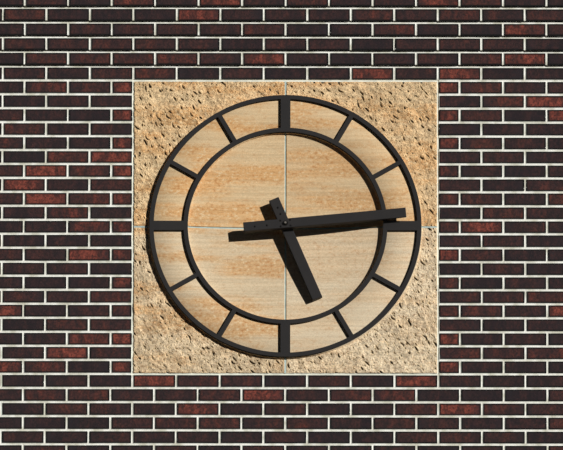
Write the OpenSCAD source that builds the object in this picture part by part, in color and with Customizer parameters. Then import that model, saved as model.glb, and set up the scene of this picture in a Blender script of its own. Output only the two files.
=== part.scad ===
// Clock panel in a bay of brick wall.
// Four slabs of stone, set flush in the outer leaf of the wall, carry a skeleton dial of flat plate
// and two hands on concentric arbors. X runs along the wall, Y runs into it and Z is up. The dial
// faces -Y. The origin is on the bottom bed, at the middle of the wall's length and thickness.

/* [Brickwork] */
// Length of a brick with one head joint
brick_pitch = 203.2; // [195:0.1:230]
// Height of a course with one bed joint
course_pitch = 67.74; // [66:0.01:80]
// Width of the head joints
head_joint = 9.5; // [6:0.5:14]
// Height of the bed joints
bed_joint = 10.6; // [6:0.2:14]
// Depth of the outer leaf
leaf_depth = 92; // [80:1:120]
// Depth of the backing wall
backing_depth = 203; // [100:1:300]
// Bricks in the length of the bay
bay_bricks = 15; // [11:2:19]
// Courses under the panel
base_courses = 7; // [2:1:12]
// Courses over the corbels
top_courses = 2; // [1:1:6]
// Corbelled courses, each standing out past the one below
corbel_courses = 5; // [1:1:7]
// How far each corbelled course stands out past the one below
corbel_step = 12.7; // [6:0.1:20]

/* [Stone panel] */
// Bricks in the width of the panel
panel_bricks = 7; // [7:2:9]
// Courses in the height of the panel
panel_courses = 21; // [21:2:27]
// Width of the sealed joints between the slabs
slab_joint = 8; // [5:0.5:12]
// How far the sealed joints lie behind the stone beside them
joint_setback = 1.5; // [0.5:0.5:4]
// How far the honed chapter band stands out from the rough stone
band_rise = 9.5; // [4:0.5:20]
// How far the rim of the honed centre is cut back behind the rough stone
centre_cut = 1.7; // [0:0.1:8]
// How much deeper the middle of the hollowed centre lies than its rim
dish_depth = 26; // [20:0.5:32]
// Ledge of the chapter band past the edges of the dial
band_ledge = 3; // [0.5:0.5:10]

/* [Dial] */
// Radius of the whole dial
dial_r = 634; // [560:1:680]
// Face width of the two rings
ring_w = 20; // [14:1:40]
// Clear width between the two rings
chapter_w = 139; // [80:1:180]
// Thickness of the plate
plate_t = 14.5; // [5:0.5:20]
// Chamfer along the edges of the rings
plate_chamfer = 1; // [0.5:0.1:2]
// Width of the markers at 12, 3, 6 and 9
quarter_marker_w = 45.5; // [22:0.5:70]
// Width of the other eight markers
hour_marker_w = 20.5; // [10:0.5:40]

/* [Time shown] */
// Hour
shown_hour = 5; // [0:1:11]
// Minutes past the hour
shown_minute = 14.1; // [0:0.1:59.9]

/* [Hands] */
// Minute hand from its axis to the tip
minute_reach = 564; // [460:1:600]
// Minute hand from its axis to the end of the tail
minute_tail = 196; // [170:1:230]
// Width of the minute hand at the tip
minute_tip_w = 47; // [42:0.5:60]
// Width of the minute hand at the end of the tail
minute_tail_w = 44.5; // [39:0.5:60]
// Depth of the channel that the minute hand is folded to
minute_depth = 31.5; // [18:0.5:40]
// Depth that is left of it at the tip
minute_tip_depth = 5; // [4:0.5:16]
// Where along the minute hand its channel begins to get shallower
minute_taper_from = 340; // [100:5:400]
// Hour hand from its axis to the tip
hour_reach = 383; // [300:1:410]
// Hour hand from its axis to the end of the tail
hour_tail = 139.5; // [130:0.5:180]
// Width of the hour hand at the tip
hour_tip_w = 48; // [45:0.5:60]
// Width of the hour hand at the end of the tail
hour_tail_w = 48; // [43:0.5:60]
// Depth of the channel that the hour hand is folded to
hour_depth = 30; // [18:0.5:34]
// Sheet thickness of the hands
hand_wall = 3; // [2:0.1:4]
// How far the hour hand's face stands in front of the dial's face
hour_stand = 4.5; // [4:0.5:20]
// Clear gap between the hour hand and the minute hand
hands_gap = 5.5; // [5:0.5:16]
// Length of the balance weight in the minute hand's tail
minute_weight_l = 115; // [60:1:125]
// Length of the balance weight in the hour hand's tail
hour_weight_l = 82; // [40:1:88]
// Thickness of the balance weights
weight_t = 12; // [6:0.5:12.5]
// Side clearance of what is fitted inside the channels
channel_fit = 0.5; // [0.2:0.1:1.5]

/* [Hubs and arbors] */
// Length of the hub blocks along the hands
hub_l = 64; // [50:1:70]
// Thickness of the hub blocks
hub_t = 8; // [5:0.5:12]
// Wall of the hubs' bosses around their bores
boss_wall = 5; // [3:0.5:5.5]
// Radius of the minute arbor
arbor_r = 8; // [6.5:0.1:9]
// Wall of the hour pipe around the minute arbor
pipe_wall = 3.7; // [2:0.1:4]
// Wall of the fixed sleeve around the hour pipe
sleeve_wall = 4.7; // [2:0.1:8]
// Clear gap between the hour hand and the fixed sleeve
sleeve_gap = 6; // [5:0.5:12]
// Running clearance between the arbor, the pipe and the sleeve
running_gap = 0.3; // [0.1:0.05:0.5]
// Length of hour pipe behind the wall
pipe_stub = 20; // [10:1:60]
// Length of minute arbor behind the end of the pipe
arbor_stub = 30; // [10:1:60]
// How far the rear ends of the pipe and the arbor are turned down as seats for their wheels
seat_cut = 1; // [0.5:0.1:1.5]
// Radius of the minute arbor's threaded front end
thread_r = 5; // [3:0.1:6]
// Width of the hub nut across its flats
nut_af = 17; // [14:0.5:24]
// Height of the hub nut on its flange
nut_h = 8; // [5:0.5:14]
// Radius of the hub nut's flange
nut_flange_r = 12; // [10:0.5:16]
// Thickness of the hub nut's flange
nut_flange_t = 2; // [1:0.5:4]
// Length of thread past the nut
thread_end = 2.5; // [1:0.5:8]

/* [Hidden] */
$fn = 96;
eps = 1;
hours = 12;
dish_steps = 10;
brick_h = course_pitch - bed_joint;

// Along the wall
bay_l = bay_bricks * brick_pitch - head_joint;
panel_w = panel_bricks * brick_pitch - head_joint;
opening_w = panel_w + 2 * head_joint;

// Up the wall, to the underside of the bricks of course n
function course_z(n) = n * course_pitch;
function corbel_z(n) = course_z(base_courses + panel_courses + n);
panel_bottom = course_z(base_courses);
panel_h = panel_courses * course_pitch - bed_joint;
opening_bottom = panel_bottom - bed_joint;
opening_top = corbel_z(0);
bay_top = corbel_z(corbel_courses + top_courses + 1) - bed_joint;
dial_z = panel_bottom + panel_h / 2;

// Into the wall, from the brick face to the back
face_y = -(leaf_depth + backing_depth) / 2;
leaf_back_y = face_y + leaf_depth;
back_y = leaf_back_y + backing_depth;
centre_y = face_y + centre_cut;
band_y = face_y - band_rise;
dial_y = band_y - plate_t;
hour_y = dial_y - hour_stand;
hour_back_y = hour_y + hour_depth;
minute_back_y = hour_y - hands_gap;
minute_y = minute_back_y - minute_depth;
sleeve_y = hour_back_y + sleeve_gap;
pipe_end_y = back_y + pipe_stub;

// The dial's radii, from the outside in
outer_ring_r = dial_r - ring_w;
chapter_r = outer_ring_r - chapter_w;
inner_ring_r = chapter_r - ring_w;
dish_r = inner_ring_r - band_ledge;

// Arbors, from the middle out
pipe_bore_r = arbor_r + running_gap;
pipe_r = pipe_bore_r + pipe_wall;
sleeve_bore_r = pipe_r + running_gap;
sleeve_r = sleeve_bore_r + sleeve_wall;

// Hand angles, clockwise from 12
minute_angle = shown_minute * 360 / 60;
hour_angle = (shown_hour + shown_minute / 60) * 360 / hours;

brick_colour = [0.22, 0.14, 0.12];
stone_colour = [0.82, 0.67, 0.47];
sealant_colour = [0.66, 0.70, 0.70];
plate_colour = [0.19, 0.18, 0.17];
steel_colour = [0.45, 0.44, 0.42];

// A block of the wall between two places along it, two heights and two depths
module wall_block(x, z, y) {
    translate([x[0], y[0], z[0]]) cube([x[1] - x[0], y[1] - y[0], z[1] - z[0]]);
}

// A whole length of the outer leaf, standing out by proud
module leaf_length(z, proud = 0) {
    wall_block([-bay_l / 2, bay_l / 2], z, [face_y - proud, leaf_back_y]);
}

// A flat shape drawn round the dial's axis, upright and given its depth
module upright(front_y, rear_y) {
    translate([0, rear_y, dial_z]) rotate([90, 0, 0]) linear_extrude(rear_y - front_y) children();
}

// The same, turned clockwise about the dial's axis
module turned(angle) {
    translate([0, 0, dial_z]) rotate([0, angle, 0]) translate([0, 0, -dial_z]) children();
}

module wall_base_courses() {
    color(brick_colour) leaf_length([0, opening_bottom]);
}

// The outer leaf beside the panel, side = -1 on the left and 1 on the right
module wall_side(side) {
    near = opening_w / 2;
    far = bay_l / 2;
    color(brick_colour)
        wall_block(side > 0 ? [near, far] : [-far, -near], [opening_bottom, opening_top], [face_y, leaf_back_y]);
}

module wall_head_course() {
    color(brick_colour) leaf_length([opening_top, opening_top + brick_h]);
}

// Corbelled course n. Its mortar bed is flush with the course below.
module wall_corbel_course(n) {
    color(brick_colour) {
        leaf_length([corbel_z(n) - bed_joint, corbel_z(n)], (n - 1) * corbel_step);
        leaf_length([corbel_z(n), corbel_z(n) + brick_h], n * corbel_step);
    }
}

module wall_top_courses() {
    color(brick_colour)
        leaf_length([corbel_z(corbel_courses + 1) - bed_joint, bay_top], corbel_courses * corbel_step);
}

module wall_backing() {
    color(brick_colour) difference() {
        wall_block([-bay_l / 2, bay_l / 2], [0, bay_top], [leaf_back_y, back_y]);
        upright(leaf_back_y - eps, back_y + eps) circle(r = sleeve_r);
    }
}

// What is cut out of the stone inside the chapter band: a step down to the rim, and from there a
// shallow bowl, deepest at the axis
module centre_hollow(setback) {
    translate([0, centre_y + setback, dial_z]) rotate([90, 0, 0]) rotate_extrude()
        polygon(concat(
            [for (i = [0:dish_steps]) [dish_r * i / dish_steps, -dish_depth * (1 - pow(i / dish_steps, 2))]],
            [[dish_r, centre_y - band_y + eps], [0, centre_y - band_y + eps]]
        ));
}

// The whole panel as one carved stone, with its face set back by setback: a rough field, the honed
// chapter band that stands out of it, the hollowed centre and the hole for the sleeve
module carved_panel(setback) {
    difference() {
        union() {
            upright(face_y + setback, leaf_back_y) square([panel_w, panel_h], center = true);
            upright(band_y + setback, leaf_back_y) circle(r = dial_r + band_ledge);
        }
        centre_hollow(setback);
        upright(centre_y - eps, leaf_back_y + eps) circle(r = sleeve_r);
    }
}

// One quarter of the panel, side = -1 or 1 along X and rise = -1 or 1 along Z
module stone_slab(side, rise) {
    near = slab_joint / 2;
    w = panel_w / 2 - near;
    h = panel_h / 2 - near;
    color(stone_colour) intersection() {
        carved_panel(0);
        upright(band_y - eps, leaf_back_y + eps)
            translate([side > 0 ? near : -near - w, rise > 0 ? near : -near - h]) square([w, h]);
    }
}

module panel_cross_joint() {
    color(sealant_colour) intersection() {
        carved_panel(joint_setback);
        upright(band_y - eps, leaf_back_y + eps) union() {
            square([slab_joint, panel_h], center = true);
            square([panel_w, slab_joint], center = true);
        }
    }
}

module panel_perimeter_joint() {
    color(sealant_colour) upright(face_y + joint_setback, leaf_back_y) difference() {
        square([opening_w, panel_h + 2 * bed_joint], center = true);
        square([panel_w, panel_h], center = true);
    }
}

// A ring of the dial plate, chamfered along both edges of its face
module dial_ring(inner_r, outer_r) {
    color(plate_colour) translate([0, band_y, dial_z]) rotate([90, 0, 0]) rotate_extrude()
        polygon([
            [inner_r, 0], [outer_r, 0],
            [outer_r, plate_t - plate_chamfer], [outer_r - plate_chamfer, plate_t],
            [inner_r + plate_chamfer, plate_t], [inner_r, plate_t - plate_chamfer]
        ]);
}

// Marker of hour n. Its ends are cut to the arcs of the two rings that it joins.
module dial_hour_marker(n) {
    w = n % 3 == 0 ? quarter_marker_w : hour_marker_w;
    color(plate_colour) turned(n * 360 / hours) upright(dial_y, band_y) intersection() {
        translate([-w / 2, 0]) square([w, dial_r]);
        difference() {
            circle(r = outer_ring_r);
            circle(r = chapter_r);
        }
    }
}

// Outline of a hand that points to 12: a long taper, square at both ends, drawn in by inset
module hand_outline(reach, tail, tip_w, tail_w, inset = 0) {
    tip = tip_w / 2 - inset;
    butt = tail_w / 2 - inset;
    polygon([[-butt, inset - tail], [butt, inset - tail], [tip, reach - inset], [-tip, reach - inset]]);
}

// What fits inside a hand's channel between two heights along the hand
module channel_filling(reach, tail, tip_w, tail_w, from, to) {
    intersection() {
        hand_outline(reach, tail, tip_w, tail_w, hand_wall + channel_fit);
        translate([-tip_w, from]) square([2 * tip_w, to - from]);
    }
}

// A hand folded to a channel that is open towards the wall
module hand_channel(reach, tail, tip_w, tail_w, front_y, depth, bore_r) {
    color(plate_colour) difference() {
        upright(front_y, front_y + depth) hand_outline(reach, tail, tip_w, tail_w);
        upright(front_y + hand_wall, front_y + depth + eps)
            hand_outline(reach, tail, tip_w, tail_w, hand_wall);
        upright(front_y - eps, front_y + hand_wall + eps) circle(r = bore_r);
    }
}

// A hub block behind a hand's face, with a boss that runs to the back of the channel
module hand_hub(reach, tail, tip_w, tail_w, front_y, depth, bore_r) {
    seat_y = front_y + hand_wall;
    color(steel_colour) difference() {
        union() {
            upright(seat_y, seat_y + hub_t)
                channel_filling(reach, tail, tip_w, tail_w, -hub_l / 2, hub_l / 2);
            upright(seat_y, front_y + depth) circle(r = bore_r + boss_wall);
        }
        upright(seat_y - eps, front_y + depth + eps) circle(r = bore_r);
    }
}

// A balance weight against the closed end of a hand's tail
module balance_weight(reach, tail, tip_w, tail_w, front_y, length) {
    seat_y = front_y + hand_wall;
    tail_end = -tail + hand_wall;
    color(steel_colour) upright(seat_y, seat_y + weight_t)
        channel_filling(reach, tail, tip_w, tail_w, tail_end, tail_end + length);
}

// The wedge off the back of the minute hand, which makes it lighter towards the tip
module minute_taper() {
    tip_back_y = minute_y + minute_tip_depth;
    translate([-minute_tip_w, 0, dial_z]) rotate([90, 0, 90]) linear_extrude(2 * minute_tip_w)
        polygon([
            [minute_back_y, minute_taper_from], [tip_back_y, minute_reach],
            [tip_back_y, minute_reach + eps], [minute_back_y + eps, minute_reach + eps],
            [minute_back_y + eps, minute_taper_from]
        ]);
}

module minute_hand() {
    turned(minute_angle) difference() {
        hand_channel(minute_reach, minute_tail, minute_tip_w, minute_tail_w, minute_y, minute_depth, thread_r);
        minute_taper();
    }
}

module minute_hub() {
    turned(minute_angle)
        hand_hub(minute_reach, minute_tail, minute_tip_w, minute_tail_w, minute_y, minute_depth, arbor_r);
}

module minute_balance_weight() {
    turned(minute_angle)
        balance_weight(minute_reach, minute_tail, minute_tip_w, minute_tail_w, minute_y, minute_weight_l);
}

// The minute arbor: a threaded end for the nut, a shoulder under the hand's face, and a turned-down
// rear end that seats a driving wheel
module minute_arbor() {
    shoulder_y = minute_y + hand_wall;
    color(steel_colour) {
        upright(minute_y - nut_flange_t - nut_h - thread_end, shoulder_y) circle(r = thread_r);
        upright(shoulder_y, pipe_end_y) circle(r = arbor_r);
        upright(pipe_end_y, pipe_end_y + arbor_stub) circle(r = arbor_r - seat_cut);
    }
}

module minute_hub_nut() {
    flange_y = minute_y - nut_flange_t;
    color(steel_colour) turned(minute_angle) difference() {
        union() {
            upright(flange_y, minute_y) circle(r = nut_flange_r);
            upright(flange_y - nut_h, flange_y) circle(d = nut_af / cos(30), $fn = 6);
        }
        upright(flange_y - nut_h - eps, minute_y + eps) circle(r = thread_r);
    }
}

module hour_hand() {
    turned(hour_angle)
        hand_channel(hour_reach, hour_tail, hour_tip_w, hour_tail_w, hour_y, hour_depth, pipe_r);
}

module hour_hub() {
    turned(hour_angle) hand_hub(hour_reach, hour_tail, hour_tip_w, hour_tail_w, hour_y, hour_depth, pipe_r);
}

module hour_balance_weight() {
    turned(hour_angle)
        balance_weight(hour_reach, hour_tail, hour_tip_w, hour_tail_w, hour_y, hour_weight_l);
}

// The hour pipe round the minute arbor, flush with the hour hand's face and turned down behind the
// wall to seat a driving wheel
module hour_pipe() {
    color(steel_colour) difference() {
        union() {
            upright(hour_y, back_y) circle(r = pipe_r);
            upright(back_y, pipe_end_y) circle(r = pipe_r - seat_cut);
        }
        upright(hour_y - eps, pipe_end_y + eps) circle(r = pipe_bore_r);
    }
}

// The fixed sleeve through the wall, which ends close behind the hour hand
module arbor_sleeve() {
    color(steel_colour) upright(sleeve_y, back_y) difference() {
        circle(r = sleeve_r);
        circle(r = sleeve_bore_r);
    }
}

wall_base_courses();
wall_side(-1);  // wall_left_side
wall_side(1);  // wall_right_side
wall_head_course();
for (n = [1:corbel_courses])
    wall_corbel_course(n);
wall_top_courses();
wall_backing();
stone_slab(-1, -1);  // stone_slab_lower_left
stone_slab(1, -1);  // stone_slab_lower_right
stone_slab(-1, 1);  // stone_slab_upper_left
stone_slab(1, 1);  // stone_slab_upper_right
panel_cross_joint();
panel_perimeter_joint();
dial_ring(outer_ring_r, dial_r);  // dial_outer_ring
dial_ring(inner_ring_r, chapter_r);  // dial_inner_ring
for (n = [1:hours])
    dial_hour_marker(n);
arbor_sleeve();
minute_arbor();
minute_hub();
minute_hand();
minute_balance_weight();
minute_hub_nut();
hour_pipe();
hour_hub();
hour_hand();
hour_balance_weight();
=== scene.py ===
"""Clock panel of sandstone in a bay of brick wall, dressed for rendering.

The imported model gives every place. Bricks, mortar, slabs, sealant, dial, hands, screws and nut are closed
skins worked out with numpy round the boxes of the CAD nodes that they stand for. Hubs, weights and arbors
keep the shape of their CAD nodes. Lengths are metres, X runs along the wall, Y runs into it and Z is up.
The dial faces -Y.
"""

import math

import bpy
import numpy as np
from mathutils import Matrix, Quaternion, Vector


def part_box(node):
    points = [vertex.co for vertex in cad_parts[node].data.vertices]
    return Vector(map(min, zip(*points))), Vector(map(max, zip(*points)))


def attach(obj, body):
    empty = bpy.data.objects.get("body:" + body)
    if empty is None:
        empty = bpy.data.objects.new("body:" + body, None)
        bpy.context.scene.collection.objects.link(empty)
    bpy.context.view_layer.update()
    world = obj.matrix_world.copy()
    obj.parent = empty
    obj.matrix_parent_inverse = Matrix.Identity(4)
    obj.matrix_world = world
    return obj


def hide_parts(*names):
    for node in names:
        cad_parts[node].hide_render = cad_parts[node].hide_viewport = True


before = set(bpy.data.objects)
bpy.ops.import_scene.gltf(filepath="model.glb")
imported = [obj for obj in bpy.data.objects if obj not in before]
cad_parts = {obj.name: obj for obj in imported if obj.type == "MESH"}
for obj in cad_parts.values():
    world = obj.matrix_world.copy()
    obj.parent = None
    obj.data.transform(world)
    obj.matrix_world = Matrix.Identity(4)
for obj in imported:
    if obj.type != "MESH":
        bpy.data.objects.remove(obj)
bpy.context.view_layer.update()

mm = 0.001


def low(node):
    """Lowest corner of a CAD node."""
    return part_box(node)[0]


def high(node):
    """Highest corner of a CAD node."""
    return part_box(node)[1]


# Brickwork, from the boxes of the wall's nodes and two counts
bay_half = high("wall_base_courses").x
face_y = low("wall_base_courses").y
leaf_back_y = high("wall_base_courses").y
wall_back_y = high("wall_backing").y
opening_low = high("wall_base_courses").z
opening_high = low("wall_head_course").z
opening_half = high("panel_perimeter_joint").x
bay_top = high("wall_top_courses").z
brick_h = high("wall_head_course").z - opening_high
course_pitch = low("wall_corbel_course_2").z - low("wall_corbel_course_1").z
corbel_step = face_y - low("wall_corbel_course_1").y
bed_joint = course_pitch - brick_h
head_joint = opening_half - high("stone_slab_upper_right").x
bricks_in_bay = 15
brick_pitch = (2 * bay_half + head_joint) / bricks_in_bay
brick_l = brick_pitch - head_joint
leaf_depth = leaf_back_y - face_y
base_courses = round((opening_low + bed_joint) / course_pitch)
head_course = round(opening_high / course_pitch)
corbel_courses = 5
courses = round((bay_top + bed_joint) / course_pitch)

# How the bricks are shaped and laid
arris_round = 2.2 * mm
arris_wander = 1.1 * mm
corner_cut = 2.2 * mm
chipped_share = 0.035
brick_proud = 0.5 * mm
brick_stray = 1.8 * mm
brick_tilt = 0.004
red_share = 0.07

# Mortar: its depth beside a brick, and how much deeper it is at joint_reach from one. It laps behind a
# brick by joint_lap, and stays joint_rake inside the bay's ends, foot and top.
joint_edge = 1.6 * mm
joint_hollow = 2.4 * mm
joint_reach = 5 * mm
joint_uneven = 0.45 * mm
joint_lap = 2 * mm
joint_rake = 3 * mm

# Stone panel, measured from the middle of the dial
dial_z = (low("dial_outer_ring").z + high("dial_outer_ring").z) / 2
panel_half_w = high("stone_slab_upper_right").x
panel_half_h = high("stone_slab_upper_right").z - dial_z
slab_edge = low("stone_slab_upper_right").x
band_y = low("stone_slab_upper_right").y
rim_y = face_y + 1.7 * mm
hollow_depth = 26 * mm
sleeve_r = high("arbor_sleeve").x
slab_arris = 0.8 * mm
rough_fade = 14 * mm
joint_wear, joint_wear_w = 1.3 * mm, 4 * mm
rim_wear, rim_wear_w = 2.4 * mm, 5 * mm

# Tint and share of rust of each slab, by its side, -1 for left, and its rise, -1 for lower
slab_tints = {(-1, 1): (0.99, 0.945, 0.875), (1, 1): (0.985, 0.94, 0.88),
              (-1, -1): (0.955, 0.985, 1.045), (1, -1): (1.02, 1.09, 1.22)}
slab_rusts = {(-1, 1): 1, (1, 1): 0.8, (-1, -1): 1, (1, -1): 0.4}

# Sealant: its depth behind the stone beside it, and how much deeper its middle is
honed_sealant_depth = 4.2 * mm
rough_sealant_depth = 1 * mm
rim_sealant_depth = 5.5 * mm
cross_hollow = 0.8 * mm
rim_hollow = 1.3 * mm
sealant_uneven = 0.35 * mm
sealant_lap = 0.15 * mm

# Dial plate
dial_y = low("dial_outer_ring").y
dial_r = high("dial_outer_ring").x
ring_inside_r = high("dial_hour_marker_3").x
chapter_r = high("dial_inner_ring").x
ring_w = dial_r - ring_inside_r
inner_ring_r = chapter_r - ring_w
band_ledge = 3 * mm
band_low_r = inner_ring_r - band_ledge
band_high_r = dial_r + band_ledge
plate_edge = 0.5 * mm
quarter_marker_w = high("dial_hour_marker_12").x - low("dial_hour_marker_12").x
hour_marker_w = 20.5 * mm

# Hands, at the time that the photograph shows
shown_hour = 5
shown_minute = 14.1
minute_angle = math.radians(shown_minute * 6)
hour_angle = math.radians((shown_hour + shown_minute / 60) * 30)
hour_depth = high("hour_hand").y - low("hour_hand").y
hand_wall = 3 * mm
hand_fold = 2.4 * mm
hub_zone = 22 * mm


def stir(column, row, seed):
    """A fixed number from -1 to 1 for each pair of whole numbers: both are multiplied by large odd numbers,
    added, and mixed with their own high bits twice."""
    key = (np.asarray(column, np.int64) * 374761393 + np.asarray(row, np.int64) * 668265263
           + seed * 144665401) & 0xFFFFFFFF
    key = (key ^ (key >> 13)) * 1274126177 & 0xFFFFFFFF
    return (key ^ (key >> 16)) / 2.0 ** 31 - 1


def cloud(across, up, seed):
    """Smooth noise from -1 to 1 with lumps one unit wide: the stirred numbers at the four whole-number
    corners round each place, mixed by the cubic 3t^2 - 2t^3 of its distance from them."""
    column, row = np.floor(across), np.floor(up)
    s, t = across - column, up - row
    s, t = s * s * (3 - 2 * s), t * t * (3 - 2 * t)
    lower = stir(column, row, seed) * (1 - s) + stir(column + 1, row, seed) * s
    upper = stir(column, row + 1, seed) * (1 - s) + stir(column + 1, row + 1, seed) * s
    return lower * (1 - t) + upper * t


def clouds(across, up, seed, layers=4, fade=0.5):
    """Sum of clouds. Each layer is turned by about 37 degrees, twice as fine and weaker by fade."""
    total, weight = 0.0, 1.0
    for layer in range(layers):
        total = total + weight * cloud(across, up, seed + layer)
        across, up = 1.6 * across + 1.2 * up + 17.3, 1.6 * up - 1.2 * across + 5.9
        weight *= fade
    return total


def ease(value, start, end):
    """0 up to start, 1 past end, and the cubic 3t^2 - 2t^3 between them."""
    t = np.clip((value - start) / (end - start), 0, 1)
    return t * t * (3 - 2 * t)


def lie(x, y, z):
    """Points from their three coordinates, stretched to one shape."""
    return np.stack(np.broadcast_arrays(x, y, z), -1)


def turned(points, angle):
    """Points turned clockwise about the dial's axis, as seen from the front. They are drawn round the
    axis for 12 o'clock, with x to the right and z up from the axis."""
    x, y, z = np.moveaxis(points, -1, 0)
    return lie(x * math.cos(angle) + z * math.sin(angle), y,
               dial_z + z * math.cos(angle) - x * math.sin(angle))


class Skin:
    """Closed skins gathered into one mesh, with the finish of each face and the values of each point."""

    def __init__(self):
        self.points = []
        self.faces = []
        self.finishes = []
        self.values = []
        self.count = 0

    def add(self, loops, finish=0, ring=False, **values):
        """Skin over loops[n, i, j], which is point j round the closed loop at station i of skin n.
        Neighbouring stations are joined by quads. A ring also joins its last station to its first, and any
        other skin is closed by its two end loops. The faces are turned over if they enclose less than
        nothing."""
        loops = np.asarray(loops, float)
        shape = loops.shape[:3]
        corners = loops.reshape(-1, 3)
        index = np.arange(len(corners)).reshape(shape)
        near = index if ring else index[:, :-1]
        far = np.roll(index, -1, 1) if ring else index[:, 1:]
        quads = np.stack([near, far, np.roll(far, -1, 2), np.roll(near, -1, 2)], -1)
        finishes = [np.broadcast_to(finish, quads.shape[:3]).ravel()]
        quads = quads.reshape(-1, 4)
        faces = [quads]
        if not ring:
            ends = np.concatenate([index[:, 0], index[:, -1, ::-1]])
            faces.append(ends)
            finishes.append(np.full(len(ends), np.ravel(finish)[-1]))
        volume = 0.0
        for group in faces:
            for k in range(1, group.shape[1] - 1):
                a, b, c = corners[group[:, 0]], corners[group[:, k]], corners[group[:, k + 1]]
                volume += np.sum(a * np.cross(b, c))
        for group in faces:
            if volume < 0:
                group = group[:, ::-1]
            self.faces += (group + self.count).tolist()
        self.points.append(corners)
        self.finishes += finishes
        self.values.append((len(corners), {
            name: np.broadcast_to(value, loops.shape).reshape(-1, 3) for name, value in values.items()}))
        self.count += len(corners)
        return self

    def finish(self, name, materials, slot, body="wall", stands_for=(), crease=None):
        """Make the piece. Faces are flat, or smooth where they meet at less than crease degrees."""
        mesh = bpy.data.meshes.new(name)
        mesh.from_pydata(np.concatenate(self.points), [], self.faces)
        for material in materials:
            mesh.materials.append(material)
        mesh.polygons.foreach_set("material_index", np.concatenate(self.finishes).astype(np.int32))
        for kind in sorted({kind for _, values in self.values for kind in values}):
            layer = mesh.attributes.new(kind, "FLOAT_VECTOR", "POINT")
            whole = [values.get(kind, np.zeros((count, 3))) for count, values in self.values]
            layer.data.foreach_set("vector", np.concatenate(whole).astype(np.float32).ravel())
        if crease is not None:
            mesh.shade_smooth()
            mesh.set_sharp_from_angle(angle=math.radians(crease))
        mesh.validate()
        piece = bpy.data.objects.new(name, mesh)
        bpy.context.scene.collection.objects.link(piece)
        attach(piece, body)
        if stands_for:
            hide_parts(*stands_for)
        return piece


def paint(red, green, blue):
    """Linear colour from the three values that a picture shows, 0 to 255."""
    shares = [value / 255 for value in (red, green, blue)]
    return tuple(v / 12.92 if v <= 0.04045 else ((v + 0.055) / 1.055) ** 2.4 for v in shares) + (1.0,)


class Finish:
    """Nodes of a new material, or of a new world. Each call adds a node and gives back its output."""

    def __init__(self, name, kind="materials"):
        self.owner = getattr(bpy.data, kind).new(name)
        self.owner.use_nodes = True
        self.nodes = self.owner.node_tree.nodes
        self.shader = next(node for node in self.nodes if node.outputs)

    def fill(self, socket, value):
        """Link an output to a socket, or set a plain value on it."""
        if isinstance(value, bpy.types.NodeSocket):
            self.owner.node_tree.links.new(value, socket)
        elif isinstance(value, tuple):
            socket.default_value = value[:len(socket.default_value)]
        else:
            socket.default_value = value

    def node(self, kind, output=0, inputs=(), **settings):
        """Add a node, set its settings, and fill its inputs by name or number."""
        made = self.nodes.new("ShaderNode" + kind)
        for name, value in settings.items():
            setattr(made, name, value)
        for key, value in dict(inputs).items():
            self.fill(made.inputs[key], value)
        return made.outputs[output]

    def place(self):
        """Place on the piece in metres."""
        return self.node("TexCoord", "Object")

    def value_of(self, kind):
        """The three values that each point of the piece carries under this name."""
        return self.node("Attribute", "Vector", attribute_name=kind)

    def parts(self, vector):
        """The three numbers of a vector."""
        return self.node("SeparateXYZ", 0, {0: vector}).node.outputs

    def shown(self):
        """1 for rays from the camera and from what reflects or is clear, and 0 for the light that falls."""
        total = 0.0
        for ray in ("Is Camera Ray", "Is Glossy Ray", "Is Transmission Ray"):
            total = self.math("ADD", total, self.node("LightPath", ray), clamp=True)
        return total

    def math(self, operation, a, b=0.0, clamp=False):
        """One sum on numbers."""
        return self.node("Math", 0, {0: a, 1: b}, operation=operation, use_clamp=clamp)

    def vector(self, operation, a, b=(0, 0, 0)):
        """One sum on vectors."""
        return self.node("VectorMath", 0, {0: a, 1: b}, operation=operation)

    def noise(self, place, size, detail=2.0, stretch=(1, 1, 1), rough=0.5):
        """Cloudy pattern from 0 to 1 with lumps about size metres wide, longer along a small stretch."""
        scaled = self.vector("MULTIPLY", place, tuple(share / size for share in stretch))
        return self.node("TexNoise", "Fac", {"Vector": scaled, "Scale": 1.0, "Detail": detail,
                                             "Roughness": rough})

    def spread(self, value, low_from, high_from, low_to=0.0, high_to=1.0):
        """A number carried smoothly from one range to another, and held at its ends."""
        return self.node("MapRange", 0, {0: value, 1: low_from, 2: high_from, 3: low_to, 4: high_to},
                         interpolation_type="SMOOTHSTEP")

    def mix(self, share, a, b, how="MIX"):
        """Two colours mixed by a share."""
        return self.node("Mix", 2, {0: share, 6: a, 7: b}, data_type="RGBA", blend_type=how)

    def shade(self, colour, amount):
        """A colour made lighter or darker by a number."""
        grey = self.node("CombineXYZ", 0, {0: amount, 1: amount, 2: amount})
        return self.vector("MULTIPLY", colour, grey)

    def ramp(self, value, stops):
        """A colour for each number, from stops of place and colour."""
        ramp = self.node("ValToRGB", "Color", {0: value}).node
        elements = ramp.color_ramp.elements
        while len(elements) < len(stops):
            elements.new(0.5)
        for element, (place, colour) in zip(elements, stops):
            element.position = place
            element.color = colour
        return ramp.outputs["Color"]

    def bump(self, height, depth, over=None):
        """Surface relief from a height of 0 to 1 over a depth in metres."""
        inputs = {"Height": height, "Distance": depth, "Strength": 1.0}
        if over is not None:
            inputs["Normal"] = over
        return self.node("Bump", 0, inputs)

    def surface(self, colour, roughness, normal=None, **plain):
        """Fill the shader and give back the material."""
        self.fill(self.shader.inputs["Base Color"], colour)
        self.fill(self.shader.inputs["Roughness"], roughness)
        if normal is not None:
            self.fill(self.shader.inputs["Normal"], normal)
        for name, value in plain.items():
            self.shader.inputs[name.replace("_", " ")].default_value = value
        return self.owner


mortar_paint = paint(241, 239, 227)

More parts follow.
